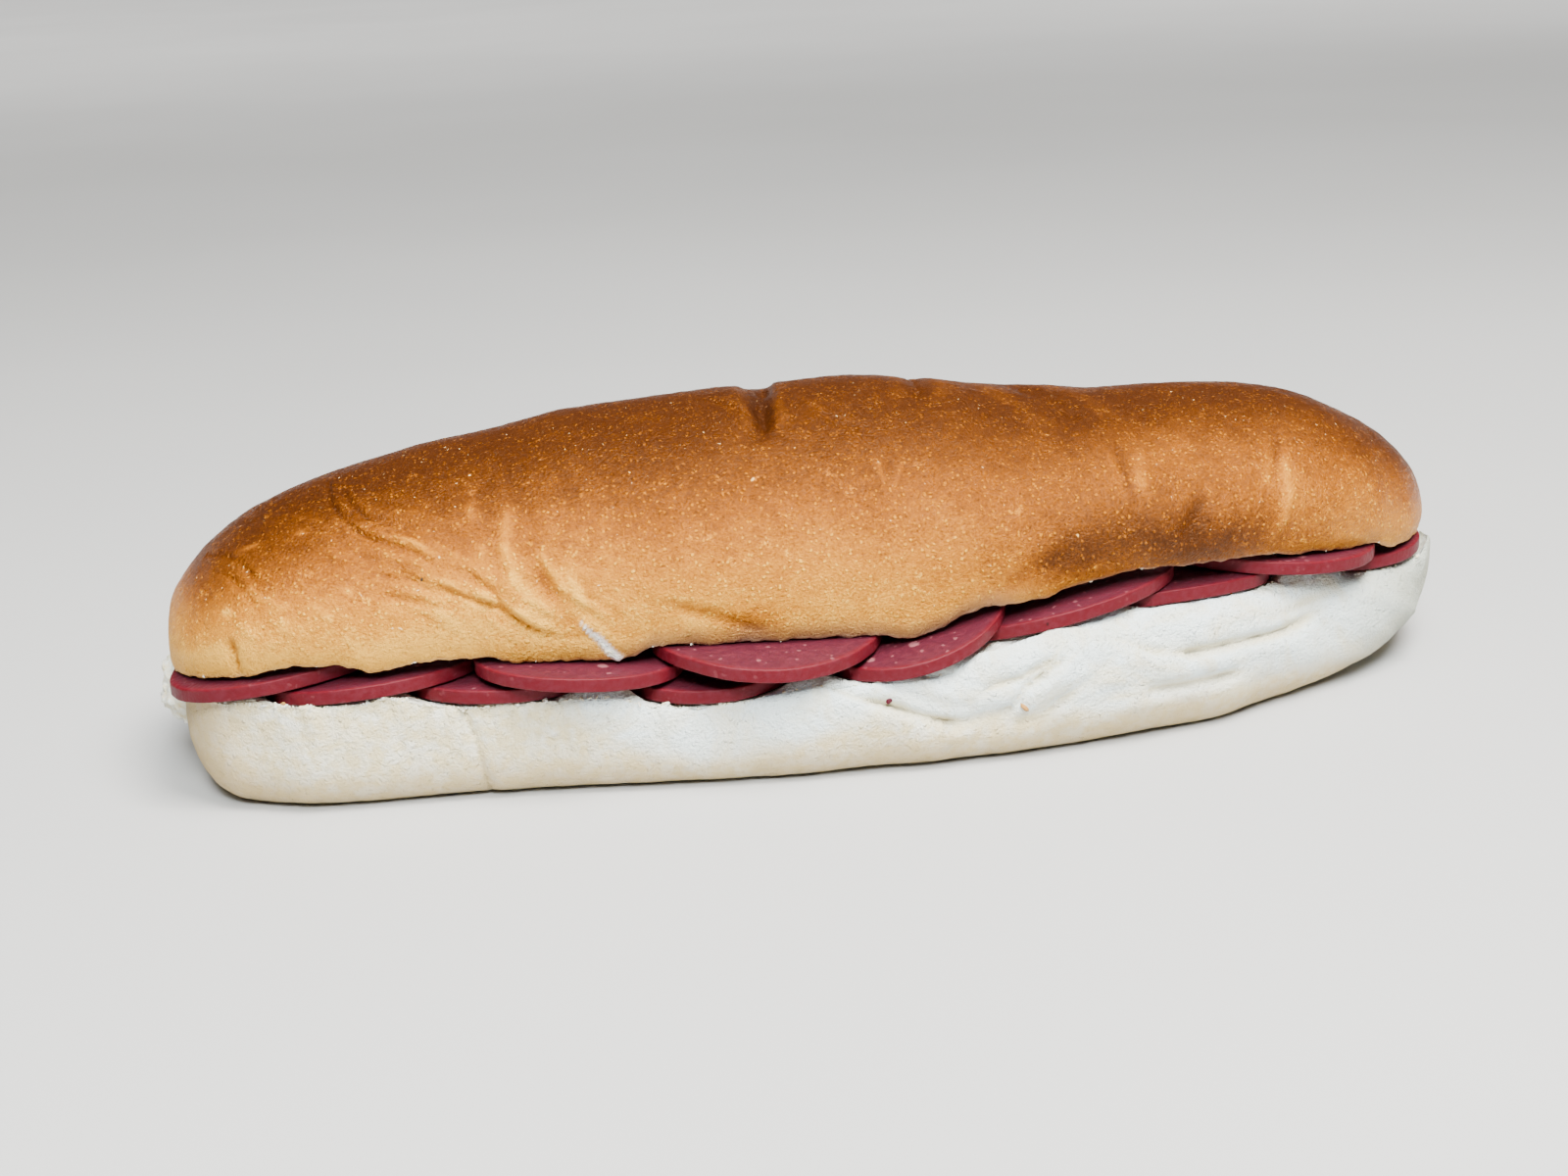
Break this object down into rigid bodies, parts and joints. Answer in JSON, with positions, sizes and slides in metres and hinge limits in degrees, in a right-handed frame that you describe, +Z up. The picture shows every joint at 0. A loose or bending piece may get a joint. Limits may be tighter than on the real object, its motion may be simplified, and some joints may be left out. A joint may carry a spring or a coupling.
{
  "type": "filled bread roll sandwich",
  "caption": "Long soft white roll with a glossy brown crust, slit along its front and filled with overlapping thin slices of red cured sausage.",
  "frame": {"origin": "on the surface that the roll lies on, under the middle of its bounding box", "axes": "+X along the roll, -Y out of the open front, +Z up"},
  "size_m": [0.2506, 0.0896, 0.0623],
  "materials": {
    "bread": "satin golden-brown crust above, matte pale crumb and crust below",
    "sausage": "moist satin, deep red with pale fat flecks"
  },
  "bodies": {
    "root": {"bread_roll": "bread", "sausage_slice_01": "sausage", "sausage_slice_02": "sausage", "sausage_slice_03": "sausage", "sausage_slice_04": "sausage", "sausage_slice_05": "sausage", "sausage_slice_06": "sausage", "sausage_slice_07": "sausage", "sausage_slice_08": "sausage", "sausage_slice_09": "sausage", "sausage_slice_10": "sausage", "sausage_slice_11": "sausage"}
  },
  "joints": []
}
